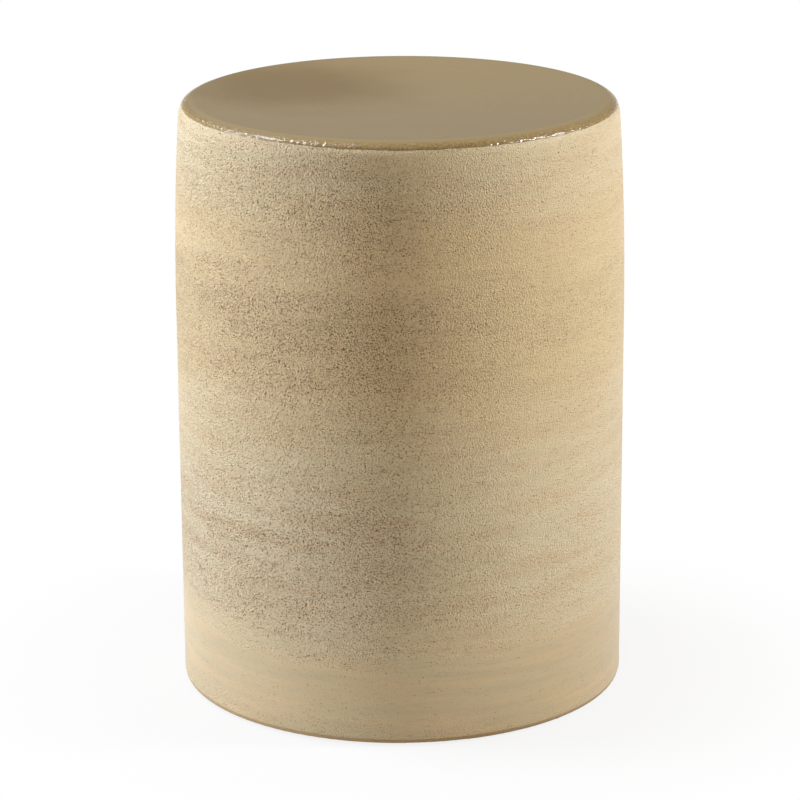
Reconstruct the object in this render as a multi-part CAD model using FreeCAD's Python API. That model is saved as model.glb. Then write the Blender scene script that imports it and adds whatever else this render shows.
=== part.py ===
"""Ceramic garden stool: a hollow stoneware drum with a dished, glazed seat.

The clay and the glazes are turned about the vertical axis, and four round pads lie under the
foot. The origin is on the floor, below the middle of the stool, +Z is up, and every length is
in millimetres. The clay's outer form is one profile of tangent arcs. Each glaze is that same
profile grown by the thickness of its coat, and the hollow is the same profile shrunk by the
thickness of the wall, so that what touches always fits.
"""
import math
import os

import FreeCAD
import Part

# Overall sizes of the finished stool
stool_height = 450.0
drum_radius = 168.8

# Side: nearly straight from the foot up to the widest ring, then curving in to the rim
foot_draw_in = 0.2
shoulder_draw_in = 5.5
shoulder_length = 155.5

# Rim and foot edges of the clay
rim_round = 11.0
foot_round = 2.5

# Walls of clay
wall_thickness = 9.5
seat_thickness = 12.0
seat_dish_depth = 6.5

# The flat ring under the seat, from the middle of the rim's round inwards
seat_land = 27.0

# Coil of clay smoothed into the corner under the seat
coil_leg = 12.0

# Ring of clay inside the base of the wall
foot_ring_width = 18.0
foot_ring_height = 16.0
foot_ring_top_round = 5.0
foot_ring_bottom_round = 2.0

# Glazes
wall_glaze_thickness = 0.4
seat_glaze_thickness = 0.8
glaze_line_angle = 55.0
bare_foot_height = 3.5

# Rubber pads stuck under the foot
pad_count = 4
pad_diameter = 20.0
pad_thickness = 1.5
pad_edge_round = 0.4
pad_first_angle = 45.0

# Heights that follow from the sizes above
foot_level = pad_thickness
glazed_level = foot_level + bare_foot_height
clay_top = stool_height - seat_glaze_thickness

# Side of the clay under its glaze, straight from the top of the foot's round to the widest ring
belly_radius = drum_radius - wall_glaze_thickness
foot_radius = belly_radius - foot_draw_in
side_level = foot_level + foot_round
belly_level = clay_top - shoulder_length

# Arc of the shoulder, upright where it leaves the widest ring
shoulder_arc = (shoulder_length ** 2 + shoulder_draw_in ** 2) / (2.0 * shoulder_draw_in)
shoulder_centre_radius = belly_radius - shoulder_arc

# Arc of the rim, tangent to the shoulder and level with the clay's top
rim_level = clay_top - rim_round
rim_centre_radius = shoulder_centre_radius + math.sqrt(
    (shoulder_arc - rim_round) ** 2 - (rim_level - belly_level) ** 2)

# Arc of the dish, tangent to the rim and centred high above the seat
dish_level = clay_top - seat_dish_depth
rise_to_dish = dish_level - rim_level
dish_arc = (rim_centre_radius ** 2 + rise_to_dish ** 2 - rim_round ** 2) / (2.0 * seat_dish_depth)
dish_centre_level = dish_level + dish_arc

# Underside of the seat: the dish's own curve in the middle, and a flat land over the wall
underside_arc = dish_arc + seat_thickness
land_radius = rim_centre_radius - seat_land
seam_level = dish_centre_level - math.sqrt(underside_arc ** 2 - land_radius ** 2)

# Spare length of the cutting shapes past the surfaces that they cut
cut_margin = 5.0


def point(radius, level):
    """A point of a profile, in the half plane that is turned about the stool's axis."""
    return FreeCAD.Vector(radius, 0.0, level)


# Centres of the profile's arcs, and where the rim's round ends, as angles from straight up
shoulder_centre = point(shoulder_centre_radius, belly_level)
rim_centre = point(rim_centre_radius, rim_level)
dish_centre = point(0.0, dish_centre_level)
rim_low_angle = math.atan2(rim_centre_radius - shoulder_centre_radius, rim_level - belly_level)
rim_high_angle = math.atan2(-rim_centre_radius, dish_centre_level - rim_level)


def line(start, end):
    return Part.LineSegment(start, end).toShape()


def arc_about(centre, start, end):
    """The shorter arc from start to end about a centre that is equally far from both."""
    radius = (start - centre).Length
    towards = (start + end) * 0.5 - centre
    middle = centre + towards * (radius / towards.Length)
    return Part.Arc(start, middle, end).toShape()


def turned(edges):
    """The solid that a closed profile sweeps about the stool's axis."""
    face = Part.Face(Part.Wire(Part.__sortEdges__(edges)))
    axis = FreeCAD.Vector(0.0, 0.0, 1.0)
    return face.revolve(FreeCAD.Vector(0.0, 0.0, 0.0), axis, 360.0)


def slab(bottom, top):
    """A round block wider than the stool, between two levels."""
    return Part.makeCylinder(drum_radius + cut_margin, top - bottom,
                             FreeCAD.Vector(0.0, 0.0, bottom))


def side_radius(level, coat):
    """Radius of the side at a level, on the clay's surface grown by a coat."""
    if level > belly_level:
        rise = level - belly_level
        return shoulder_centre_radius + math.sqrt((shoulder_arc + coat) ** 2 - rise ** 2)
    share = (level - side_level) / (belly_level - side_level)
    return foot_radius + foot_draw_in * share + coat


def belly(coat):
    """Widest point of the side, on the clay's surface grown by a coat."""
    return point(belly_radius + coat, belly_level)


def rim_at(angle, coat):
    """Point of the rim's round at an angle from straight up, grown by a coat."""
    reach = rim_round + coat
    return rim_centre + point(math.sin(angle), math.cos(angle)) * reach


def side_edges(start, coat):
    """Edges from a point low on the side up to the start of the rim's round."""
    return [
        line(start, belly(coat)),
        arc_about(shoulder_centre, belly(coat), rim_at(rim_low_angle, coat)),
    ]


def seat_edges(coat):
    """Edges from the end of the rim's round to the middle of the dish."""
    return [arc_about(dish_centre, rim_at(rim_high_angle, coat), point(0.0, dish_level + coat))]


def rim_edges(low_angle, high_angle, coat):
    """Edges along the rim's round between two angles from straight up."""
    return [arc_about(rim_centre, rim_at(low_angle, coat), rim_at(high_angle, coat))]


def clay_form():
    """The clay's whole outer form, without its hollow."""
    foot_middle = point(0.0, foot_level)
    foot_end = point(foot_radius - foot_round, foot_level)
    side_start = point(foot_radius, side_level)
    foot_edges = [
        line(foot_middle, foot_end),
        arc_about(point(foot_end.x, side_level), foot_end, side_start),
    ]
    up = side_edges(side_start, 0.0) + rim_edges(rim_low_angle, rim_high_angle, 0.0) + seat_edges(0.0)
    return turned(foot_edges + up + [line(point(0.0, dish_level), foot_middle)])


def hollow():
    """The space inside the drum, from below the foot up to the seat's underside."""
    below = foot_level - cut_margin
    foot_start = point(side_radius(foot_level, -wall_thickness), foot_level)
    top = point(side_radius(seam_level, -wall_thickness), seam_level)
    land = point(land_radius, seam_level)
    middle = point(0.0, dish_centre_level - underside_arc)
    return turned([
        line(point(0.0, below), point(foot_start.x, below)),
        line(point(foot_start.x, below), foot_start),
        line(foot_start, belly(-wall_thickness)),
        arc_about(shoulder_centre, belly(-wall_thickness), top),
        line(top, land),
        arc_about(dish_centre, land, middle),
        line(middle, point(0.0, below)),
    ])


def wall(clay):
    """The drum of clay, cut level at the seam to carry the seat."""
    inside_land = Part.makeCylinder(land_radius, stool_height)
    return clay.common(slab(foot_level, seam_level)).cut(inside_land)


def seat(clay, drum):
    """The dished plate with its rounded rim, which rests on the wall's end."""
    return clay.cut(drum)


def seat_joint_coil(inside):
    """Coil of clay smoothed to a cove in the corner between wall and seat."""
    corner_radius = side_radius(seam_level, -wall_thickness)
    low_level = seam_level - coil_leg
    seat_end = point(corner_radius - coil_leg, seam_level)
    wall_end = point(side_radius(low_level, -wall_thickness), low_level)
    cove_centre = point(seat_end.x, low_level)
    past_wall_low = point(wall_end.x + cut_margin, low_level)
    past_wall_high = point(past_wall_low.x, seam_level)
    cove = turned([
        arc_about(cove_centre, seat_end, wall_end),
        line(wall_end, past_wall_low),
        line(past_wall_low, past_wall_high),
        line(past_wall_high, seat_end),
    ])
    return cove.common(inside)


def foot_ring(inside):
    """Ring of clay inside the base of the wall, flush with its end."""
    wall_side = side_radius(foot_level, -wall_thickness)
    inner = wall_side - foot_ring_width
    top = foot_level + foot_ring_height
    low_start = point(inner + foot_ring_bottom_round, foot_level)
    low_end = point(inner, foot_level + foot_ring_bottom_round)
    low_centre = point(low_start.x, low_end.z)
    high_start = point(inner, top - foot_ring_top_round)
    high_end = point(inner + foot_ring_top_round, top)
    high_centre = point(high_end.x, high_start.z)
    past_wall_high = point(wall_side + cut_margin, top)
    past_wall_low = point(past_wall_high.x, foot_level)
    ring = turned([
        arc_about(low_centre, low_start, low_end),
        line(low_end, high_start),
        arc_about(high_centre, high_start, high_end),
        line(high_end, past_wall_high),
        line(past_wall_high, past_wall_low),
        line(past_wall_low, low_start),
    ])
    return ring.common(inside)


def seat_glaze():
    """Thick glossy coat over the dish and the rim, down to the glaze line."""
    line_angle = math.radians(glaze_line_angle)
    coat = seat_glaze_thickness
    under = rim_edges(line_angle, rim_high_angle, 0.0) + seat_edges(0.0)
    over = rim_edges(line_angle, rim_high_angle, coat) + seat_edges(coat)
    middle = line(point(0.0, dish_level), point(0.0, dish_level + coat))
    end = line(rim_at(line_angle, 0.0), rim_at(line_angle, coat))
    return turned(under + [middle] + over + [end])


def wall_glaze():
    """Thin satin coat over the side, from above the bare foot up to the glaze line."""
    line_angle = math.radians(glaze_line_angle)
    coat = wall_glaze_thickness
    low_inner = point(side_radius(glazed_level, 0.0), glazed_level)
    low_outer = point(side_radius(glazed_level, coat), glazed_level)
    under = side_edges(low_inner, 0.0) + rim_edges(rim_low_angle, line_angle, 0.0)
    over = side_edges(low_outer, coat) + rim_edges(rim_low_angle, line_angle, coat)
    low_end = line(low_inner, low_outer)
    high_end = line(rim_at(line_angle, 0.0), rim_at(line_angle, coat))
    return turned(under + [high_end] + over + [low_end])


def floor_pad(index):
    """Thin rubber disc under the middle of the foot's flat underside."""
    foot_outer = foot_radius - foot_round
    foot_inner = side_radius(foot_level, -wall_thickness) - foot_ring_width + foot_ring_bottom_round
    centre_radius = (foot_outer + foot_inner) / 2.0
    angle = math.radians(pad_first_angle + 360.0 * index / pad_count)
    centre = FreeCAD.Vector(centre_radius * math.cos(angle), centre_radius * math.sin(angle), 0.0)
    disc = Part.makeCylinder(pad_diameter / 2.0, pad_thickness, centre)
    lower_edge = [e for e in disc.Edges if e.BoundBox.ZMax < pad_thickness / 2.0]
    return disc.makeFillet(pad_edge_round, lower_edge)


def single_solid(shape):
    """The one solid of a piece, without the compound that a cut leaves round it."""
    assert len(shape.Solids) == 1, "a piece has fallen apart"
    return shape.Solids[0]


def pieces():
    """All pieces of the stool by name."""
    inside = hollow()
    clay = clay_form().cut(inside)
    drum = wall(clay)
    found = {
        "wall": drum,
        "seat": seat(clay, drum),
        "seat_joint_coil": seat_joint_coil(inside),
        "foot_ring": foot_ring(inside),
        "seat_glaze": seat_glaze(),
        "wall_glaze": wall_glaze(),
    }
    for index in range(pad_count):
        found["floor_pad_%d" % (index + 1)] = floor_pad(index)
    return found


os.makedirs("parts", exist_ok=True)
for name, shape in pieces().items():
    solid = single_solid(shape)
    solid.exportStep("parts/%s.step" % name)
    print(name, "valid", solid.isValid(), "volume cm3", round(solid.Volume / 1000.0, 2))
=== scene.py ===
"""Looks of the ceramic garden stool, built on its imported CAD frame.

The drum's clay and pads are the CAD's own pieces with finished materials. The two glazes are
modelled here, each turned from its profile: a satin sand glaze over the side, and a glossy
grey-brown glaze that pools in the dished seat and thins to golden brown over the rim.
Profiles are in millimetres, as (radius, height), and Blender's own lengths are in metres.
"""

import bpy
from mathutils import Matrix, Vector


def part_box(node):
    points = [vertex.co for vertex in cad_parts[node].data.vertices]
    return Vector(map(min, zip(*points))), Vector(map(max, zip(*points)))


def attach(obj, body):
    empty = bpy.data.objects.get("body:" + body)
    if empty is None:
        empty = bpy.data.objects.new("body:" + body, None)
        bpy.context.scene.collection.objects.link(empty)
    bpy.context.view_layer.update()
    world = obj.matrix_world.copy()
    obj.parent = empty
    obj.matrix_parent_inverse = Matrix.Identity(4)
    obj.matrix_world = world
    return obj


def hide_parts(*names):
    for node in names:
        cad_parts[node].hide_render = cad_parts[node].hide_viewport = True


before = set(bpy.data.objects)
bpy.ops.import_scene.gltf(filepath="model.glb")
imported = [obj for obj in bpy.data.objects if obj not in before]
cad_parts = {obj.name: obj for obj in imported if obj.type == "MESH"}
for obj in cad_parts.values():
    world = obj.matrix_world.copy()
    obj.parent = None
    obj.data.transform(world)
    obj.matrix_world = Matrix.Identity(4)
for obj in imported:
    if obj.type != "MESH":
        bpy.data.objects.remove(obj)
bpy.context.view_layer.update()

import math

import bpy
from mathutils import Euler, Matrix, Vector

bl_info = {
    "name": "Ceramic Garden Stool",
    "version": (1, 0, 0),
    "blender": (4, 5, 0),
    "location": "View3D > Sidebar > Stool",
    "description": "Builds the glazes, finishes and studio of a stoneware drum stool",
    "category": "Object",
}

MM = 0.001
DEGREE = math.radians(1.0)

# Steps round the stool of each turned glaze
SPIN_STEPS = 320

# Rows of points up the outside of the side's glaze and over the rim's round, then back down
# the inside in the same order
SIDE_ROWS, SIDE_STEPS = 196, 8
SIDE_BACK_ROWS, SIDE_BACK_STEPS = 24, 5

# Rows of points across the dish and round the rim, under the seat's glaze and then over it
UNDER_ROWS, UNDER_STEPS = 30, 12
OVER_ROWS, OVER_STEPS = 46, 21

# Throwing rings up the side: share of the depth, mm per radian of the wave, and start
RING_WAVES = ((0.4, 1.62, 0.0), (0.35, 2.35, 1.3), (0.6, 4.1, 0.4))

# Heights over which the throwing rings and the lumps of the side fade in and out, in mm
RINGS_FADE = (10.0, 25.0)
LUMPS_FADE = (15.0, 20.0)

# Size of the side's lumps, in mm
LUMP_SIZE = 45.0

# How the seat's glaze ends over the side's, as points from its lip upwards: degrees below the
# glaze line, share of the step between the two coats, and share of the bead
LAP = ((2.3, 0.08, 0.0), (2.5, 0.13, 0.05), (2.4, 0.22, 0.15), (1.6, 0.36, 0.4),
       (0.0, 0.52, 0.7), (-2.4, 0.70, 0.95), (-6.0, 0.88, 1.0), (-10.0, 1.0, 0.6),
       (-14.0, 1.0, 0.25), (-17.5, 1.0, 0.05))

# Angles from straight up between which each coat gives way as the glaze line wanders
SIDE_GIVES = (math.radians(20.0), math.radians(82.0))
SEAT_GIVES = (math.radians(14.0), math.radians(82.0))

# Waves that add up to the wander of the glaze line: share, turns round the rim, and start
LINE_WAVES = ((1.0, 1, 0.0), (0.3, 3, 1.0), (0.15, 7, 2.0), (0.12, 19, 0.7), (0.14, 31, 2.6),
              (0.14, 47, 0.4), (0.12, 71, 1.9), (0.10, 97, 3.1))

# Middle of the darker patch on the seat, in mm
DARK_PATCH_MIDDLE = (-84.0, 52.0, 0.0)

# Softboxes: azimuth and elevation in degrees, then width and height in metres
LEFT_SOFTBOX = ((-88.0, 15.0), (0.8, 0.8))
HIGH_LEFT_SOFTBOX = ((-102.0, 54.0), (0.9, 0.35))
RIGHT_SOFTBOX = ((84.0, 31.0), (0.3, 0.5))
SOFTBOX_AIM = Vector((0.0, 0.0, 0.24))
SOFTBOX_DISTANCE = 2.0

# Width of the floor in metres, and distances from the axis over which it turns white
FLOOR_WIDTH = 80.0
WHITE_FADE = (0.16, 0.4)

# Camera fitted to the photograph: place in metres, downward tilt and roll in degrees, and
# focal length in pixels of a picture 800 pixels wide
CAMERA_PLACE = (-0.53 * MM, -2.49715, 0.96498)
CAMERA_TILT = 16.734
CAMERA_ROLL = -0.337
FOCAL_PIXELS = 3423.6
PICTURE_PIXELS = 800.0
SENSOR_WIDTH = 36.0


def node_mm(node):
    """Lowest and highest corner of a CAD node, in millimetres."""
    low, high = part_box(node)
    return Vector(low) / MM, Vector(high) / MM


GLAZED_LOW, GLAZED_HIGH = node_mm("wall_glaze")
STOOL_HEIGHT = node_mm("seat_glaze")[1].z


class StoolShape(bpy.types.PropertyGroup):
    """Sizes of the glaze coats and of the clay that they lie on."""
    drum_radius: bpy.props.FloatProperty(
        name="Drum radius", description="Widest radius over the side's glaze, in mm",
        default=GLAZED_HIGH.x, min=100.0)
    stool_height: bpy.props.FloatProperty(
        name="Stool height", description="Height of the rim's crest over the floor, in mm",
        default=STOOL_HEIGHT, min=200.0)
    glazed_level: bpy.props.FloatProperty(
        name="Glazed from", description="Height at which the side's glaze starts, in mm",
        default=GLAZED_LOW.z, min=1.0)
    rim_round: bpy.props.FloatProperty(
        name="Rim round", description="Radius of the clay's rounded rim, in mm",
        default=11.0, min=2.0)
    foot_draw_in: bpy.props.FloatProperty(
        name="Foot draw-in", description="How much narrower the foot is than the belly, in mm",
        default=0.2, min=0.0)
    shoulder_draw_in: bpy.props.FloatProperty(
        name="Shoulder draw-in", description="How far the side curves in below the rim, in mm",
        default=5.5, min=0.1)
    shoulder_length: bpy.props.FloatProperty(
        name="Shoulder length", description="Height of the curved upper part of the side, in mm",
        default=155.5, min=10.0)
    dish_depth: bpy.props.FloatProperty(
        name="Dish depth", description="Depth of the seat's dish below its rim, in mm",
        default=6.5, min=0.5)
    side_coat: bpy.props.FloatProperty(
        name="Side coat", description="Thickness of the sand glaze, in mm",
        default=0.4, min=0.1)
    seat_coat: bpy.props.FloatProperty(
        name="Seat coat", description="Thickness of the seat's glaze, in mm",
        default=0.8, min=0.2)
    line_angle: bpy.props.FloatProperty(
        name="Glaze line",
        description="Where the seat's glaze ends on the rim's round, from straight up",
        subtype="ANGLE", default=math.radians(52.5), min=0.5, max=1.4)
    line_wander: bpy.props.FloatProperty(
        name="Line wander",
        description="How far the glaze line wanders up and down round the rim",
        subtype="ANGLE", default=math.radians(4.0), min=0.0, max=0.2)
    bead: bpy.props.FloatProperty(
        name="Glaze bead",
        description="Extra thickness of the seat's glaze where it stops, in mm",
        default=0.12, min=0.0, max=1.0)
    ring_depth: bpy.props.FloatProperty(
        name="Throwing rings",
        description="Depth of the shallow rings that the hand leaves, in mm",
        default=0.04, min=0.0, max=0.2)
    lumps: bpy.props.FloatProperty(
        name="Lumps", description="Unevenness of the side's glaze, in mm",
        default=0.10, min=0.0, max=0.4)


class StoolFinish(bpy.types.PropertyGroup):
    """Colours of the glazes, the clay and the pads."""
    sand: bpy.props.StringProperty(
        name="Sand glaze", description="Main colour of the side, as sRGB hex",
        default="#E3CDA4")
    sand_pink: bpy.props.StringProperty(
        name="Sand glaze, pink", description="Pinker patches of the side, as sRGB hex",
        default="#E0C195")
    sand_warm: bpy.props.StringProperty(
        name="Sand glaze, warm", description="Yellower bands high on the side, as sRGB hex",
        default="#E3C898")
    sand_grey: bpy.props.StringProperty(
        name="Sand glaze, grey", description="Greyer bands low on the side, as sRGB hex",
        default="#E4D0AA")
    sand_foot: bpy.props.StringProperty(
        name="Sand glaze, foot", description="Smooth band round the foot, as sRGB hex",
        default="#D2BD97")
    # Colour of the dark grog specks, also laid into the pits as painted shade
    grit_and_pit_shade: bpy.props.StringProperty(
        name="Grit", description="Dark pits and specks of the side, as sRGB hex",
        default="#7C4A18")
    pooled: bpy.props.StringProperty(
        name="Pooled glaze", description="The seat's glaze where it lies thick, as sRGB hex",
        default="#A58E64")
    # Colour of a darker patch on the seat, left of the middle and behind it
    seat_dark_patch: bpy.props.StringProperty(
        name="Pooled glaze, dark",
        description="The thickest pool of the seat's glaze, as sRGB hex",
        default="#8C7249")
    thin: bpy.props.StringProperty(
        name="Thin glaze",
        description="The seat's glaze where it thins over the rim, as sRGB hex",
        default="#AA8E5F")
    clay: bpy.props.StringProperty(
        name="Bare clay",
        description="Unglazed stoneware of the foot and the inside, as sRGB hex",
        default="#C2A57C")
    grog: bpy.props.StringProperty(
        name="Grog", description="Dark grains in the bare clay, as sRGB hex",
        default="#7A5F3D")
    rubber: bpy.props.StringProperty(
        name="Rubber", description="Pads under the foot, as sRGB hex",
        default="#2A2928")
    floor: bpy.props.StringProperty(
        name="Floor", description="Studio floor, as sRGB hex",
        default="#DCDBD9")


class StoolStudio(bpy.types.PropertyGroup):
    """Lamps and room light of the studio."""
    left_low: bpy.props.FloatProperty(
        name="Left softbox", description="Power of the low softbox on the left",
        unit="POWER", default=24.2, min=0.0)
    left_high: bpy.props.FloatProperty(
        name="High left softbox",
        description="Power of the softbox high on the left, behind the stool",
        unit="POWER", default=27.0, min=0.0)
    right: bpy.props.FloatProperty(
        name="Right softbox", description="Power of the softbox on the right",
        unit="POWER", default=28.0, min=0.0)
    room: bpy.props.FloatProperty(
        name="Room light", description="Strength of the even light from the room",
        default=0.17, min=0.0)
    left_tint: bpy.props.FloatVectorProperty(
        name="Left tint", description="Colour of the left softboxes' light", subtype="COLOR",
        default=(0.89, 1.0, 1.17), min=0.0, max=2.0)
    right_tint: bpy.props.FloatVectorProperty(
        name="Right tint", description="Colour of the right softbox's light", subtype="COLOR",
        default=(0.935, 1.0, 1.085), min=0.0, max=2.0)
    room_tint: bpy.props.FloatVectorProperty(
        name="Room tint", description="Colour of the light that the room sends back",
        subtype="COLOR", default=(1.36, 1.0, 0.40), min=0.0, max=2.0)
    mirrored_room: bpy.props.FloatProperty(
        name="Mirrored room", description="Strength of the room as the glaze mirrors it",
        default=0.2, min=0.0)


def linear(text):
    """Linear colour, with alpha, of an sRGB hex value such as #D6C29B."""
    parts = [int(text[i:i + 2], 16) / 255.0 for i in (1, 3, 5)]
    light = [c / 12.92 if c <= 0.04045 else ((c + 0.055) / 1.055) ** 2.4 for c in parts]
    return (*light, 1.0)


def add(tree, kind, inputs=None, out=0, **settings):
    """Adds a node, sets it up, sets or links its inputs, and returns one of its outputs."""
    node = tree.nodes.new(kind)
    for name, value in settings.items():
        setattr(node, name, value)
    for socket, value in (inputs or {}).items():
        if isinstance(value, bpy.types.NodeSocket):
            tree.links.new(value, node.inputs[socket])
        else:
            node.inputs[socket].default_value = value
    return node.outputs[out] if node.outputs else None


def new_material(name):
    """An empty material, and its Object coordinates in millimetres."""
    material = bpy.data.materials.new(name)
    material.use_nodes = True
    tree = material.node_tree
    tree.nodes.clear()
    place = add(tree, "ShaderNodeTexCoord", out="Object")
    mm = add(tree, "ShaderNodeVectorMath", {0: place, 1: (1000.0, 1000.0, 1000.0)},
             operation="MULTIPLY")
    return material, tree, mm


def dress(node, material):
    """Gives a CAD node a finished material in every slot of its object."""
    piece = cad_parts[node]
    for slot in piece.material_slots:
        slot.material = material


def clay_top(shape):
    """Height of the crest of the clay's rim, under the seat's glaze."""
    return shape.stool_height - shape.seat_coat


def belly(shape):
    """Radius and height of the clay's widest ring, under the side's glaze."""
    return shape.drum_radius - shape.side_coat, clay_top(shape) - shape.shoulder_length


def shoulder_arc(shape):
    """Radius of the arc in which the side curves in, upright at the widest ring."""
    length, draw_in = shape.shoulder_length, shape.shoulder_draw_in
    return (length ** 2 + draw_in ** 2) / (2.0 * draw_in)


def clay_radius(shape, level):
    """Radius of the clay's side under its glaze at a height."""
    belly_radius, belly_level = belly(shape)
    arc = shoulder_arc(shape)
    if level > belly_level:
        return belly_radius - arc + math.sqrt(arc ** 2 - (level - belly_level) ** 2)
    return belly_radius - shape.foot_draw_in * (1.0 - level / belly_level)


def rim_centre(shape):
    """Centre of the rim's round, as radius and height."""
    arc = shoulder_arc(shape)
    belly_radius, belly_level = belly(shape)
    level = clay_top(shape) - shape.rim_round
    across = math.sqrt((arc - shape.rim_round) ** 2 - (level - belly_level) ** 2)
    return belly_radius - arc + across, level


def rim_end_angle(shape):
    """Angle from straight up at which the rim's round meets the side."""
    radius, level = rim_centre(shape)
    belly_radius, belly_level = belly(shape)
    return math.atan2(radius - (belly_radius - shoulder_arc(shape)), level - belly_level)


def dish_arc(shape):
    """Radius of the dish's curve and the height of its centre."""
    radius, level = rim_centre(shape)
    bottom = clay_top(shape) - shape.dish_depth
    rise = bottom - level
    arc = (radius ** 2 + rise ** 2 - shape.rim_round ** 2) / (2.0 * shape.dish_depth)
    return arc, bottom + arc


def rim_point(shape, angle, coat):
    """Point of the rim's round at an angle from straight up, over a coat of glaze."""
    radius, level = rim_centre(shape)
    reach = shape.rim_round + coat
    return radius + reach * math.sin(angle), level + reach * math.cos(angle)


def line_shift(shape, azimuth):
    """How far the glaze line strays from its mean angle, at an azimuth from the front."""
    waves = (share * math.sin(turns * azimuth + start) for share, turns, start in LINE_WAVES)
    return shape.line_wander * sum(waves)


def turned_piece(name, outline):
    """One closed piece, spun about the stool's axis from a closed outline in mm."""
    bpy.ops.object.select_all(action="DESELECT")
    radius, level = outline[0]
    bpy.ops.mesh.primitive_plane_add(size=MM, location=(radius * MM, 0.0, level * MM))
    piece = bpy.context.object
    piece.name = name
    piece.data.name = name
    bpy.ops.object.transform_apply(location=True, rotation=False, scale=False)
    bpy.ops.object.mode_set(mode="EDIT")
    bpy.ops.mesh.select_all(action="SELECT")
    bpy.ops.mesh.merge(type="CENTER")
    for here, there in zip(outline, outline[1:]):
        step = ((there[0] - here[0]) * MM, 0.0, (there[1] - here[1]) * MM)
        bpy.ops.mesh.extrude_region_move(TRANSFORM_OT_translate={"value": step})
    bpy.ops.mesh.select_all(action="SELECT")
    bpy.ops.mesh.remove_doubles(threshold=0.01 * MM)
    bpy.ops.mesh.spin(steps=SPIN_STEPS, angle=2 * math.pi, center=(0, 0, 0), axis=(0, 0, 1))
    bpy.ops.mesh.select_all(action="SELECT")
    bpy.ops.mesh.remove_doubles(threshold=0.01 * MM)
    bpy.ops.mesh.normals_make_consistent(inside=False)
    bpy.ops.object.mode_set(mode="OBJECT")
    return piece


def set_ramp(socket, stops):
    """Sets a colour ramp's stops, each a place and a grey level or an sRGB hex colour."""
    ramp = socket.node.color_ramp
    while len(ramp.elements) < len(stops):
        ramp.elements.new(1.0)
    for element, (place, value) in zip(ramp.elements, stops):
        element.position = place
        element.color = linear(value) if isinstance(value, str) else (value, value, value, 1.0)


def finish_material(tree, inputs):
    """Adds the shader with its inputs, and the material's output."""
    shader = add(tree, "ShaderNodeBsdfPrincipled", inputs)
    add(tree, "ShaderNodeOutputMaterial", {"Surface": shader})


def shift_line(shape, piece, upper_angle, lower_angle):
    """Slides the end of a coat along the rim's round, so that the glaze line wanders.

    A point moves most at the line's mean angle, and not at all at the two angles given.
    """
    radius, level = rim_centre(shape)
    mean = shape.line_angle
    for vertex in piece.data.vertices:
        x, y, z = vertex.co / MM
        across, rise = math.hypot(x, y) - radius, z - level
        angle = math.atan2(across, rise)
        if rise < -2.0 or not upper_angle < angle < lower_angle:
            continue
        if angle < mean:
            share = (angle - upper_angle) / (mean - upper_angle)
        else:
            share = (lower_angle - angle) / (lower_angle - mean)
        turned = angle + line_shift(shape, math.atan2(x, -y)) * share
        reach = math.hypot(across, rise)
        scale = (radius + reach * math.sin(turned)) / math.hypot(x, y)
        vertex.co = Vector((x * scale, y * scale, level + reach * math.cos(turned))) * MM


def pick(piece):
    """Selects one object alone and makes it the active one."""
    bpy.ops.object.select_all(action="DESELECT")
    piece.select_set(True)
    bpy.context.view_layer.objects.active = piece


def finish_piece(piece, material, node, smooth_angle):
    """Shades a finished piece and ties it to the CAD node that it stands for."""
    pick(piece)
    bpy.ops.object.shade_smooth_by_angle(angle=smooth_angle)
    piece.data.materials.clear()
    piece.data.materials.append(material)
    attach(piece, "root")
    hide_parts(node)


def uneven(piece, group, size, depth):
    """Displaces a coat's outside by soft noise of a size and depth in mm, and applies it."""
    texture = bpy.data.textures.new(piece.name + "_unevenness", "CLOUDS")
    texture.noise_scale = size * MM
    texture.noise_depth = 1
    modifier = piece.modifiers.new("unevenness", "DISPLACE")
    modifier.texture = texture
    modifier.texture_coords = "LOCAL"
    modifier.mid_level = 0.5
    modifier.strength = depth * MM
    modifier.vertex_group = group
    pick(piece)
    bpy.ops.object.modifier_apply(modifier=modifier.name)


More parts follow.
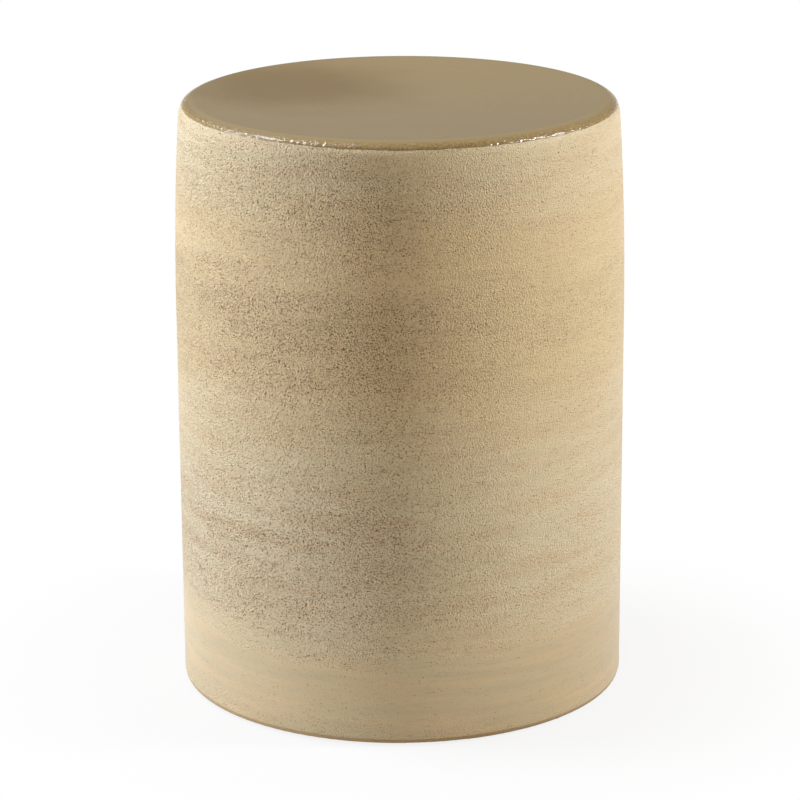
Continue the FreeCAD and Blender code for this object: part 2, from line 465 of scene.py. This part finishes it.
def sand_glaze(finish):
    """Satin stoneware glaze with grog specks, brushed on while the drum turned; its pits hold
    painted shade.

    A matt magnesia glaze over grogged clay: the light spreads softly over it, and the grog and
    pinholes break it into a fine grain of dark specks, denser in some level bands. The grain and
    pits are drawn weaker towards the side that faces +X.
    """
    material, tree, mm = new_material("satin_sand_glaze")
    height = add(tree, "ShaderNodeSeparateXYZ", {0: mm}, out="Z")
    across = add(tree, "ShaderNodeSeparateXYZ", {0: mm}, out="X")

    # Level bands 130 mm long by 34 mm high, patches 80 by 11, and brush streaks 60 by 5
    band_space = add(tree, "ShaderNodeVectorMath", {0: mm, 1: (1 / 130.0, 1 / 130.0, 1 / 34.0)},
                     operation="MULTIPLY")
    bands = add(tree, "ShaderNodeTexNoise", {"Vector": band_space, "Scale": 1.0, "Detail": 2.0})
    patch_space = add(tree, "ShaderNodeVectorMath", {0: mm, 1: (1 / 80.0, 1 / 80.0, 1 / 11.0)},
                      operation="MULTIPLY")
    patches = add(tree, "ShaderNodeTexNoise", {"Vector": patch_space, "Scale": 1.0,
                                               "Detail": 3.0, "Distortion": 0.3})
    streak_space = add(tree, "ShaderNodeVectorMath", {0: mm, 1: (1 / 60.0, 1 / 60.0, 1 / 5.0)},
                       operation="MULTIPLY")
    streaks = add(tree, "ShaderNodeTexNoise", {"Vector": streak_space, "Scale": 1.0,
                                               "Detail": 3.0})

    # Height as a share of the stool's height, strayed by the bands and streaks, so that the
    # edges of the zones wander. The range starts at the mean of what they add.
    strayed = add(tree, "ShaderNodeMath", {0: bands, 1: 60.0, 2: height},
                  operation="MULTIPLY_ADD")
    strayed = add(tree, "ShaderNodeMath", {0: streaks, 1: 16.0, 2: strayed},
                  operation="MULTIPLY_ADD")
    share = add(tree, "ShaderNodeMapRange", {"Value": strayed, "From Min": 38.0,
                                             "From Max": 488.0})

    # How gritty the glaze is: by zones from the foot up, by side, by patches and by streaks
    zones = add(tree, "ShaderNodeValToRGB", {"Fac": share})
    set_ramp(zones, [(0.0, 0.28), (0.09, 0.06), (0.13, 0.08), (0.20, 0.82), (0.33, 0.92),
                     (0.40, 0.80), (0.48, 0.72), (0.56, 0.75), (0.62, 0.88), (0.73, 1.0),
                     (0.79, 0.62), (0.86, 0.84), (0.94, 0.80), (1.0, 0.55)])
    side = add(tree, "ShaderNodeMapRange", {"Value": across, "From Min": -10.0, "From Max": 90.0,
                                            "To Min": 1.08, "To Max": 0.50})
    patchy = add(tree, "ShaderNodeMapRange", {"Value": patches, "From Min": 0.36, "From Max": 0.62,
                                              "To Min": 0.90, "To Max": 1.06})
    streaky = add(tree, "ShaderNodeMapRange", {"Value": streaks, "From Min": 0.32,
                                               "From Max": 0.68, "To Min": 0.86, "To Max": 1.14})
    gritty = add(tree, "ShaderNodeMath", {0: side, 1: patchy}, operation="MULTIPLY")
    gritty = add(tree, "ShaderNodeMath", {0: gritty, 1: streaky}, operation="MULTIPLY")
    gritty = add(tree, "ShaderNodeMath", {0: gritty, 1: zones}, operation="MULTIPLY")

    # Pits round the grog, and the grain between them. The real ones are about half a
    # millimetre across, which is too fine to show, so they are drawn 0.8 to 1.05 mm across.
    # They are turned askew so that no lines show where the drum runs along their grid.
    askew = add(tree, "ShaderNodeMapping", {"Vector": mm, "Rotation": (0.6, 0.4, 0.9)})
    grog = add(tree, "ShaderNodeTexNoise", {"Vector": askew, "Scale": 1 / 0.9, "Detail": 0.0,
                                            "Distortion": 0.4})
    grain = add(tree, "ShaderNodeTexNoise", {"Vector": askew, "Scale": 1 / 1.05, "Detail": 0.0,
                                             "Distortion": 0.5})
    fine = add(tree, "ShaderNodeTexNoise", {"Vector": askew, "Scale": 1 / 0.8, "Detail": 1.0})
    grain_rise = add(tree, "ShaderNodeMath", {0: grain, 1: 0.5}, operation="SUBTRACT")
    grain_rise = add(tree, "ShaderNodeMath", {0: grain_rise, 1: gritty}, operation="MULTIPLY")
    fine_rise = add(tree, "ShaderNodeMath", {0: fine, 1: 0.5}, operation="SUBTRACT")
    fine_rise = add(tree, "ShaderNodeMath", {0: fine_rise, 1: gritty}, operation="MULTIPLY")
    pit_level = add(tree, "ShaderNodeMath", {0: gritty, 1: 0.18, 2: 0.175},
                    operation="MULTIPLY_ADD")
    uneven_grain = add(tree, "ShaderNodeMath", {0: fine, 1: 0.45, 2: -0.225},
                       operation="MULTIPLY_ADD")
    below = add(tree, "ShaderNodeMath", {0: pit_level, 1: grog}, operation="SUBTRACT")
    below = add(tree, "ShaderNodeMath", {0: below, 1: uneven_grain}, operation="SUBTRACT")
    pits = add(tree, "ShaderNodeMapRange", {"Value": below, "From Min": -0.01, "From Max": 0.035},
               interpolation_type="SMOOTHSTEP")

    # Level scratches where the brush dragged, 9 mm long and under 1 mm high, and weaker
    # where the glaze is smooth
    dash_space = add(tree, "ShaderNodeVectorMath", {0: mm, 1: (1 / 9.0, 1 / 9.0, 1 / 0.9)},
                     operation="MULTIPLY")
    dashes = add(tree, "ShaderNodeTexNoise", {"Vector": dash_space, "Scale": 1.0, "Detail": 1.0})
    dashes = add(tree, "ShaderNodeMapRange", {"Value": dashes, "From Min": 0.62, "From Max": 0.74},
                 interpolation_type="SMOOTHSTEP")
    kept = add(tree, "ShaderNodeMapRange", {"Value": gritty, "To Min": 0.3})
    dashes = add(tree, "ShaderNodeMath", {0: dashes, 1: kept}, operation="MULTIPLY")

    # Tones of the one glaze in zones from the foot up, then its patches, streaks, grain, pits and
    # scratches. Darkening the pits is partly painted shade, on top of the grog's own dark colour
    tones = add(tree, "ShaderNodeValToRGB", {"Fac": share}, out="Color")
    set_ramp(tones, [(0.0, finish.sand_foot), (0.13, finish.sand_foot),
                     (0.20, finish.sand_grey), (0.38, finish.sand_grey), (0.50, finish.sand),
                     (0.62, finish.sand_warm), (0.84, finish.sand_warm), (0.93, finish.sand)])
    warm = add(tree, "ShaderNodeMapRange", {"Value": patches, "From Min": 0.44, "From Max": 0.66,
                                            "To Max": 0.5})
    colour = add(tree, "ShaderNodeMix", {0: warm, 6: tones, 7: linear(finish.sand_pink)}, out=2,
                 data_type="RGBA")
    tone = add(tree, "ShaderNodeMapRange", {"Value": streaks, "From Min": 0.3, "From Max": 0.7,
                                            "To Min": 0.955, "To Max": 1.045})
    colour = add(tree, "ShaderNodeVectorMath", {0: colour, 3: tone}, operation="SCALE")
    tone = add(tree, "ShaderNodeMath", {0: fine_rise, 1: 1.1, 2: 1.0},
               operation="MULTIPLY_ADD")
    colour = add(tree, "ShaderNodeVectorMath", {0: colour, 3: tone}, operation="SCALE")
    # The pits and scratches take the dark speck colour; in the pits it is partly the grog's own
    # colour and partly painted shade
    dark = add(tree, "ShaderNodeMath", {0: dashes, 1: 0.45}, operation="MULTIPLY")
    dark = add(tree, "ShaderNodeMath", {0: pits, 1: 0.98, 2: dark}, operation="MULTIPLY_ADD",
               use_clamp=True)
    colour = add(tree, "ShaderNodeMix", {0: dark, 6: colour, 7: linear(finish.grit_and_pit_shade)}, out=2,
                 data_type="RGBA")
    gloss = add(tree, "ShaderNodeMapRange", {"Value": gritty, "To Min": 0.40, "To Max": 0.55})

    # Relief in mm: the grain between the pits, the pits, the scratches and the brush's ridges
    relief = add(tree, "ShaderNodeMath", {0: grain_rise, 1: 1.9}, operation="MULTIPLY")
    for part, depth in ((fine_rise, 0.10), (pits, -0.15), (dashes, -0.06), (streaks, 0.04)):
        relief = add(tree, "ShaderNodeMath", {0: part, 1: depth, 2: relief},
                     operation="MULTIPLY_ADD")
    normal = add(tree, "ShaderNodeBump", {"Height": relief, "Distance": MM})
    finish_material(tree, {"Base Color": colour, "Roughness": gloss, "IOR": 1.5,
                           "Normal": normal})
    return material


def pooled_glaze(finish, shape):
    """Glossy iron glaze that ran level in the dish and thinned over the rim.

    Thick and grey-brown where it pooled, with faint rings from the turning, and golden brown
    and grainy where it broke over the edge, so that its wet highlight is broken there.
    """
    material, tree, mm = new_material("glossy_pooled_glaze")
    flat = add(tree, "ShaderNodeVectorMath", {0: mm, 1: (1.0, 1.0, 0.0)}, operation="MULTIPLY")
    radius = add(tree, "ShaderNodeVectorMath", {0: flat}, out="Value", operation="LENGTH")

    # Soft clouds, two grains drawn as coarse as they need to show, and the drops of the rim
    soft = add(tree, "ShaderNodeTexNoise", {"Vector": mm, "Scale": 1 / 60.0, "Detail": 2.0})
    grain = add(tree, "ShaderNodeTexNoise", {"Vector": mm, "Scale": 1 / 1.2, "Detail": 2.0,
                                             "Roughness": 0.6, "Distortion": 0.3})
    fine = add(tree, "ShaderNodeTexNoise", {"Vector": mm, "Scale": 1 / 0.8, "Detail": 1.0})
    drops = add(tree, "ShaderNodeTexNoise", {"Vector": mm, "Scale": 1 / 3.2, "Detail": 1.0})

    # A darker patch, to the left of the middle and behind it
    from_dark_patch = add(tree, "ShaderNodeVectorMath", {0: flat, 1: DARK_PATCH_MIDDLE}, out="Value",
                    operation="DISTANCE")
    from_dark_patch = add(tree, "ShaderNodeMath", {0: soft, 1: 70.0, 2: from_dark_patch},
                    operation="MULTIPLY_ADD")
    dark_patch = add(tree, "ShaderNodeMapRange", {"Value": from_dark_patch, "From Min": 160.0,
                                            "From Max": 50.0, "To Max": 0.9},
               interpolation_type="SMOOTHSTEP")

    # Faint rings 5 mm wide, from spreading the glaze while the drum turned
    strayed = add(tree, "ShaderNodeMath", {0: soft, 1: 12.0, 2: radius},
                  operation="MULTIPLY_ADD")
    rings = add(tree, "ShaderNodeTexNoise", {"W": strayed, "Scale": 1 / 5.0, "Detail": 2.0},
                noise_dimensions="1D")

    # The thin band over the rim, which starts just outside its crest, with a grainy edge
    crest = rim_centre(shape)[0]
    reach = add(tree, "ShaderNodeMath", {0: grain, 1: 2.4, 2: radius},
                operation="MULTIPLY_ADD")
    band = add(tree, "ShaderNodeMapRange", {"Value": reach, "From Min": crest + 4.2,
                                            "From Max": crest + 9.2},
               interpolation_type="SMOOTHSTEP")

    colour = add(tree, "ShaderNodeMix", {0: dark_patch, 6: linear(finish.pooled),
                                         7: linear(finish.seat_dark_patch)}, out=2, data_type="RGBA")
    tone = add(tree, "ShaderNodeMapRange", {"Value": rings, "From Min": 0.25, "From Max": 0.75,
                                            "To Min": 0.985, "To Max": 1.015})
    colour = add(tree, "ShaderNodeVectorMath", {0: colour, 3: tone}, operation="SCALE")
    tone = add(tree, "ShaderNodeMapRange", {"Value": grain, "From Min": 0.3, "From Max": 0.7,
                                            "To Min": 0.55, "To Max": 1.3})
    speckled = add(tree, "ShaderNodeVectorMath", {0: linear(finish.thin)[:3], 3: tone},
                   operation="SCALE")
    colour = add(tree, "ShaderNodeMix", {0: band, 6: colour, 7: speckled}, out=2,
                 data_type="RGBA")

    gloss = add(tree, "ShaderNodeMath", {0: soft, 1: 0.06, 2: 0.14}, operation="MULTIPLY_ADD")
    gloss = add(tree, "ShaderNodeMath", {0: band, 1: -0.03, 2: gloss}, operation="MULTIPLY_ADD")

    # Relief in mm: grain and drops 3 mm across in the thin band, and hardly any in the dish
    relief = add(tree, "ShaderNodeMath", {0: grain, 1: 0.24}, operation="MULTIPLY")
    relief = add(tree, "ShaderNodeMath", {0: drops, 1: 0.85, 2: relief},
                 operation="MULTIPLY_ADD")
    relief = add(tree, "ShaderNodeMath", {0: relief, 1: band}, operation="MULTIPLY")
    for part, depth in ((fine, 0.003), (rings, 0.005)):
        relief = add(tree, "ShaderNodeMath", {0: part, 1: depth, 2: relief},
                     operation="MULTIPLY_ADD")
    normal = add(tree, "ShaderNodeBump", {"Height": relief, "Distance": MM})
    finish_material(tree, {"Base Color": colour, "Roughness": gloss, "IOR": 1.6,
                           "Normal": normal})
    return material


def bare_stoneware(finish):
    """Unglazed buff stoneware, turned and sponged: dry, matt, and speckled with grog.

    The marks of the sponge run level, 60 mm long by 4 mm high, and the grog is drawn coarser
    than it is, 1.6 mm across, so that its specks show on the narrow bare foot.
    """
    material, tree, mm = new_material("bare_buff_stoneware")
    ring_space = add(tree, "ShaderNodeVectorMath", {0: mm, 1: (1 / 60.0, 1 / 60.0, 1 / 4.0)},
                     operation="MULTIPLY")
    rings = add(tree, "ShaderNodeTexNoise", {"Vector": ring_space, "Scale": 1.0, "Detail": 2.0})
    grog = add(tree, "ShaderNodeTexNoise", {"Vector": mm, "Scale": 1 / 1.6, "Detail": 3.0,
                                            "Roughness": 0.6})
    specks = add(tree, "ShaderNodeMapRange", {"Value": grog, "From Min": 0.36, "From Max": 0.30,
                                              "To Max": 0.7})
    tone = add(tree, "ShaderNodeMapRange", {"Value": rings, "From Min": 0.3, "From Max": 0.7,
                                            "To Min": 0.9, "To Max": 1.06})
    colour = add(tree, "ShaderNodeVectorMath", {0: linear(finish.clay)[:3], 3: tone},
                 operation="SCALE")
    colour = add(tree, "ShaderNodeMix", {0: specks, 6: colour, 7: linear(finish.grog)}, out=2,
                 data_type="RGBA")
    relief = add(tree, "ShaderNodeMath", {0: grog, 1: 0.25}, operation="MULTIPLY")
    relief = add(tree, "ShaderNodeMath", {0: rings, 1: 0.2, 2: relief},
                 operation="MULTIPLY_ADD")
    normal = add(tree, "ShaderNodeBump", {"Height": relief, "Distance": MM})
    finish_material(tree, {"Base Color": colour, "Roughness": 0.88, "IOR": 1.5,
                           "Normal": normal})
    return material


def pad_rubber(finish):
    """Moulded black rubber: dull, with the fine sparkle of a spark-eroded mould.

    The sparkle is drawn half a millimetre wide, coarser than it is, so that it shows.
    """
    material, tree, mm = new_material("moulded_rubber")
    texture = add(tree, "ShaderNodeTexNoise", {"Vector": mm, "Scale": 1 / 0.5, "Detail": 2.0})
    tone = add(tree, "ShaderNodeMapRange", {"Value": texture, "From Min": 0.3, "From Max": 0.7,
                                            "To Min": 0.8, "To Max": 1.2})
    colour = add(tree, "ShaderNodeVectorMath", {0: linear(finish.rubber)[:3], 3: tone},
                 operation="SCALE")
    normal = add(tree, "ShaderNodeBump", {"Height": texture, "Distance": 0.05 * MM})
    finish_material(tree, {"Base Color": colour, "Roughness": 0.75, "IOR": 1.52,
                           "Normal": normal})
    return material


class StoolSideGlaze(bpy.types.Operator):
    """Turn the satin sand glaze that covers the side"""
    bl_idname = "stool.side_glaze"
    bl_label = "Side glaze"

    def execute(self, context):
        shape = context.scene.stool_shape
        coat = shape.side_coat
        low = shape.glazed_level
        end = rim_end_angle(shape)
        line = shape.line_angle
        outline = []
        # Up the outside: a rolled lower edge, the side with its throwing rings, then the round
        for share in (0.0, 0.35, 0.7, 1.0):
            angle = share * math.pi / 2
            outline.append((clay_radius(shape, low) + coat * math.sin(angle) * 0.98 + 0.01,
                            low + coat * (1.0 - math.cos(angle))))
        top = rim_point(shape, end, coat)[1]
        for row in range(1, SIDE_ROWS):
            level = low + coat + (top - low - coat) * row / SIDE_ROWS
            fade = min(1.0, (level - low) / RINGS_FADE[0], (top - level) / RINGS_FADE[1])
            rings = sum(part * math.sin(level / length + start)
                        for part, length, start in RING_WAVES)
            swell = shape.ring_depth * rings * fade
            outline.append((clay_radius(shape, level) + coat + swell, level))
        for step in range(SIDE_STEPS + 1):
            outline.append(rim_point(shape, end + (line - end) * step / SIDE_STEPS, coat))
        # Back down the inside, on the clay
        for step in range(SIDE_BACK_STEPS + 1):
            outline.append(rim_point(shape, line + (end - line) * step / SIDE_BACK_STEPS, 0.0))
        for row in range(1, SIDE_BACK_ROWS):
            level = top + (low - top) * row / SIDE_BACK_ROWS
            outline.append((clay_radius(shape, level), level))
        outline.append(outline[0])
        piece = turned_piece("side_glaze", outline)
        shift_line(shape, piece, *SIDE_GIVES)
        group = piece.vertex_groups.new(name="outside")
        for vertex in piece.data.vertices:
            x, y, z = vertex.co / MM
            if low + 2.0 < z < top:
                over = math.hypot(x, y) - clay_radius(shape, z)
                if over > coat * 0.4:
                    weight = min(1.0, (z - low) / LUMPS_FADE[0], (top - z) / LUMPS_FADE[1])
                    group.add([vertex.index], weight, "REPLACE")
        uneven(piece, group.name, LUMP_SIZE, shape.lumps)
        finish_piece(piece, sand_glaze(context.scene.stool_finish), "wall_glaze",
                     math.radians(50.0))
        return {"FINISHED"}


class StoolSeatGlaze(bpy.types.Operator):
    """Turn the glossy glaze of the dished seat and the rim"""
    bl_idname = "stool.seat_glaze"
    bl_label = "Seat glaze"

    def execute(self, context):
        shape = context.scene.stool_shape
        coat, side, bead = shape.seat_coat, shape.side_coat, shape.bead
        line = shape.line_angle
        arc, centre_level = dish_arc(shape)
        radius, level = rim_centre(shape)
        high = math.atan2(-radius, centre_level - level)
        dish_reach = math.asin(rim_point(shape, high, 0.0)[0] / arc)
        outline = []
        # Underside: on the clay from the middle of the dish to the glaze line
        for row in range(UNDER_ROWS):
            tilt = dish_reach * row / UNDER_ROWS
            outline.append((arc * math.sin(tilt), centre_level - arc * math.cos(tilt)))
        for step in range(UNDER_STEPS + 1):
            angle = high + (line - 3.2 * DEGREE - high) * step / UNDER_STEPS
            outline.append(rim_point(shape, angle, 0.0))
        # The bead: it laps a little over the side's glaze and rolls back
        outline.append(rim_point(shape, line - 0.2 * DEGREE, 0.02))
        outline.append(rim_point(shape, line, side + 0.03))
        outline.append(rim_point(shape, line + 1.6 * DEGREE, side + 0.03))
        for turn, rise, swell in LAP:
            thick = side + (coat - side) * rise + bead * swell
            outline.append(rim_point(shape, line + turn * DEGREE, thick))
        # Over the crest, and down into the dish
        start = line - 18.5 * DEGREE
        for step in range(1, OVER_STEPS + 1):
            angle = start + (high - start) * step / OVER_STEPS
            outline.append(rim_point(shape, angle, coat))
        over = arc - coat
        for row in range(1, OVER_ROWS):
            tilt = dish_reach * (1.0 - row / OVER_ROWS)
            outline.append((over * math.sin(tilt), centre_level - over * math.cos(tilt)))
        outline.append((0.0, centre_level - over))
        piece = turned_piece("seat_glaze_pool", outline)
        shift_line(shape, piece, *SEAT_GIVES)
        finish_piece(piece, pooled_glaze(context.scene.stool_finish, shape), "seat_glaze",
                     math.radians(60.0))
        return {"FINISHED"}


class StoolClay(bpy.types.Operator):
    """Finish the bare stoneware of the drum, the seat, the coil and the foot ring"""
    bl_idname = "stool.clay"
    bl_label = "Clay"

    def execute(self, context):
        material = bare_stoneware(context.scene.stool_finish)
        for node in ("wall", "seat", "seat_joint_coil", "foot_ring"):
            dress(node, material)
        return {"FINISHED"}


class StoolPads(bpy.types.Operator):
    """Finish the rubber pads under the foot"""
    bl_idname = "stool.pads"
    bl_label = "Pads"

    def execute(self, context):
        material = pad_rubber(context.scene.stool_finish)
        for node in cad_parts:
            if node.startswith("floor_pad"):
                dress(node, material)
        return {"FINISHED"}


class StoolStage(bpy.types.Operator):
    """Set up the floor, the room, the softboxes and the camera"""
    bl_idname = "stool.stage"
    bl_label = "Studio"

    def execute(self, context):
        scene = context.scene
        studio = scene.stool_studio
        scene.view_settings.view_transform = "Standard"
        self.floor(scene)
        self.room(scene, studio)
        self.softbox("left_softbox", LEFT_SOFTBOX, studio.left_low, studio.left_tint)
        self.softbox("high_left_softbox", HIGH_LEFT_SOFTBOX, studio.left_high, studio.left_tint)
        self.softbox("right_softbox", RIGHT_SOFTBOX, studio.right, studio.right_tint)
        self.camera(scene)
        return {"FINISHED"}

    def floor(self, scene):
        """A floor that shows white in the picture, but for the stool's soft shadow."""
        bpy.ops.object.select_all(action="DESELECT")
        bpy.ops.mesh.primitive_plane_add(size=FLOOR_WIDTH)
        floor = bpy.context.object
        floor.name = "studio_floor"
        material = bpy.data.materials.new("white_studio_floor")
        material.use_nodes = True
        tree = material.node_tree
        tree.nodes.clear()
        place = add(tree, "ShaderNodeTexCoord", out="Object")
        away = add(tree, "ShaderNodeVectorMath", {0: place}, out="Value", operation="LENGTH")
        seen = self.seen_rays(tree, ("Is Camera Ray", "Is Glossy Ray", "Is Transmission Ray"))
        # Beside the foot some of the paint shows, and so the shadow; further out all is white
        far = add(tree, "ShaderNodeMapRange", {"Value": away, "From Min": WHITE_FADE[0],
                                               "From Max": WHITE_FADE[1], "To Min": 0.85},
                  interpolation_type="SMOOTHSTEP")
        fac = add(tree, "ShaderNodeMath", {0: seen, 1: far}, operation="MULTIPLY")
        painted = add(tree, "ShaderNodeBsdfDiffuse", {"Color": linear(scene.stool_finish.floor)})
        white = add(tree, "ShaderNodeEmission", {"Color": (1, 1, 1, 1), "Strength": 1.0})
        mixed = add(tree, "ShaderNodeMixShader", {0: fac, 1: painted, 2: white})
        add(tree, "ShaderNodeOutputMaterial", {"Surface": mixed})
        floor.data.materials.append(material)

    def seen_rays(self, tree, kinds):
        """1 for rays of any of these kinds, and 0 for the others."""
        found = 0.0
        for kind in kinds:
            ray = add(tree, "ShaderNodeLightPath", out=kind)
            found = add(tree, "ShaderNodeMath", {0: ray, 1: found}, operation="MAXIMUM")
        return found

    def room(self, scene, studio):
        """Even light from all round, warmed by the clay, and white where it is seen."""
        world = bpy.data.worlds.new("studio_room")
        world.use_nodes = True
        tree = world.node_tree
        tree.nodes.clear()
        seen = self.seen_rays(tree, ("Is Camera Ray", "Is Transmission Ray"))
        mirrored = self.seen_rays(tree, ("Is Glossy Ray",))
        strength = add(tree, "ShaderNodeMix", {0: mirrored, 2: studio.room,
                                               3: studio.mirrored_room})
        strength = add(tree, "ShaderNodeMix", {0: seen, 2: strength, 3: 1.0})
        plain = add(tree, "ShaderNodeMath", {0: seen, 1: mirrored}, operation="MAXIMUM")
        tint = add(tree, "ShaderNodeMix", {0: plain, 6: tuple(studio.room_tint) + (1.0,),
                                           7: (1, 1, 1, 1)}, out=2, data_type="RGBA")
        light = add(tree, "ShaderNodeBackground", {"Color": tint, "Strength": strength})
        add(tree, "ShaderNodeOutputWorld", {"Surface": light})
        scene.world = world

    def softbox(self, name, place, power, tint):
        """An area lamp that faces the stool's middle from a direction."""
        direction, size = place
        azimuth, elevation = (math.radians(angle) for angle in direction)
        bpy.ops.object.light_add(type="AREA")
        lamp = bpy.context.object
        lamp.name = name
        away = Vector((math.sin(azimuth) * math.cos(elevation),
                       -math.cos(azimuth) * math.cos(elevation), math.sin(elevation)))
        lamp.location = SOFTBOX_AIM + away * SOFTBOX_DISTANCE
        lamp.rotation_euler = away.to_track_quat("Z", "Y").to_euler()
        lamp.data.shape = "RECTANGLE"
        lamp.data.size, lamp.data.size_y = size
        lamp.data.energy = power
        lamp.data.color = tint

    def camera(self, scene):
        """The photograph's viewpoint: 2.5 m in front of the stool and 1 m up, with a long lens."""
        bpy.ops.object.camera_add(location=CAMERA_PLACE)
        camera = bpy.context.object
        camera.name = "photo_camera"
        tilt = Euler((math.radians(90.0 - CAMERA_TILT), 0.0, 0.0)).to_matrix()
        roll = Matrix.Rotation(math.radians(CAMERA_ROLL), 3, "Z")
        camera.rotation_euler = (tilt @ roll).to_euler()
        camera.data.lens = FOCAL_PIXELS / PICTURE_PIXELS * SENSOR_WIDTH
        camera.data.sensor_width = SENSOR_WIDTH
        camera.data.clip_start, camera.data.clip_end = 0.05, 200.0
        scene.camera = camera


OPERATORS = (StoolSideGlaze, StoolSeatGlaze, StoolClay, StoolPads, StoolStage)
GROUPS = (("stool_shape", StoolShape), ("stool_finish", StoolFinish),
          ("stool_studio", StoolStudio))


class STOOL_PT_builder(bpy.types.Panel):
    """Builds the stool, piece by piece"""
    bl_idname = "STOOL_PT_builder"
    bl_label = "Ceramic garden stool"
    bl_space_type = "VIEW_3D"
    bl_region_type = "UI"
    bl_category = "Stool"

    def draw(self, context):
        for name, group in GROUPS:
            box = self.layout.box()
            for setting in group.__annotations__:
                box.prop(getattr(context.scene, name), setting)
        for operator in OPERATORS:
            self.layout.operator(operator.bl_idname)


def register():
    for cls in [group for _, group in GROUPS] + list(OPERATORS) + [STOOL_PT_builder]:
        bpy.utils.register_class(cls)
    for name, group in GROUPS:
        setattr(bpy.types.Scene, name, bpy.props.PointerProperty(type=group))


def unregister():
    for name, _ in GROUPS:
        delattr(bpy.types.Scene, name)
    for cls in [STOOL_PT_builder] + list(OPERATORS) + [group for _, group in GROUPS]:
        bpy.utils.unregister_class(cls)


def main():
    register()
    bpy.ops.stool.stage()
    bpy.ops.stool.side_glaze()
    bpy.ops.stool.seat_glaze()
    bpy.ops.stool.clay()
    bpy.ops.stool.pads()


if __name__ == "__main__":
    main()
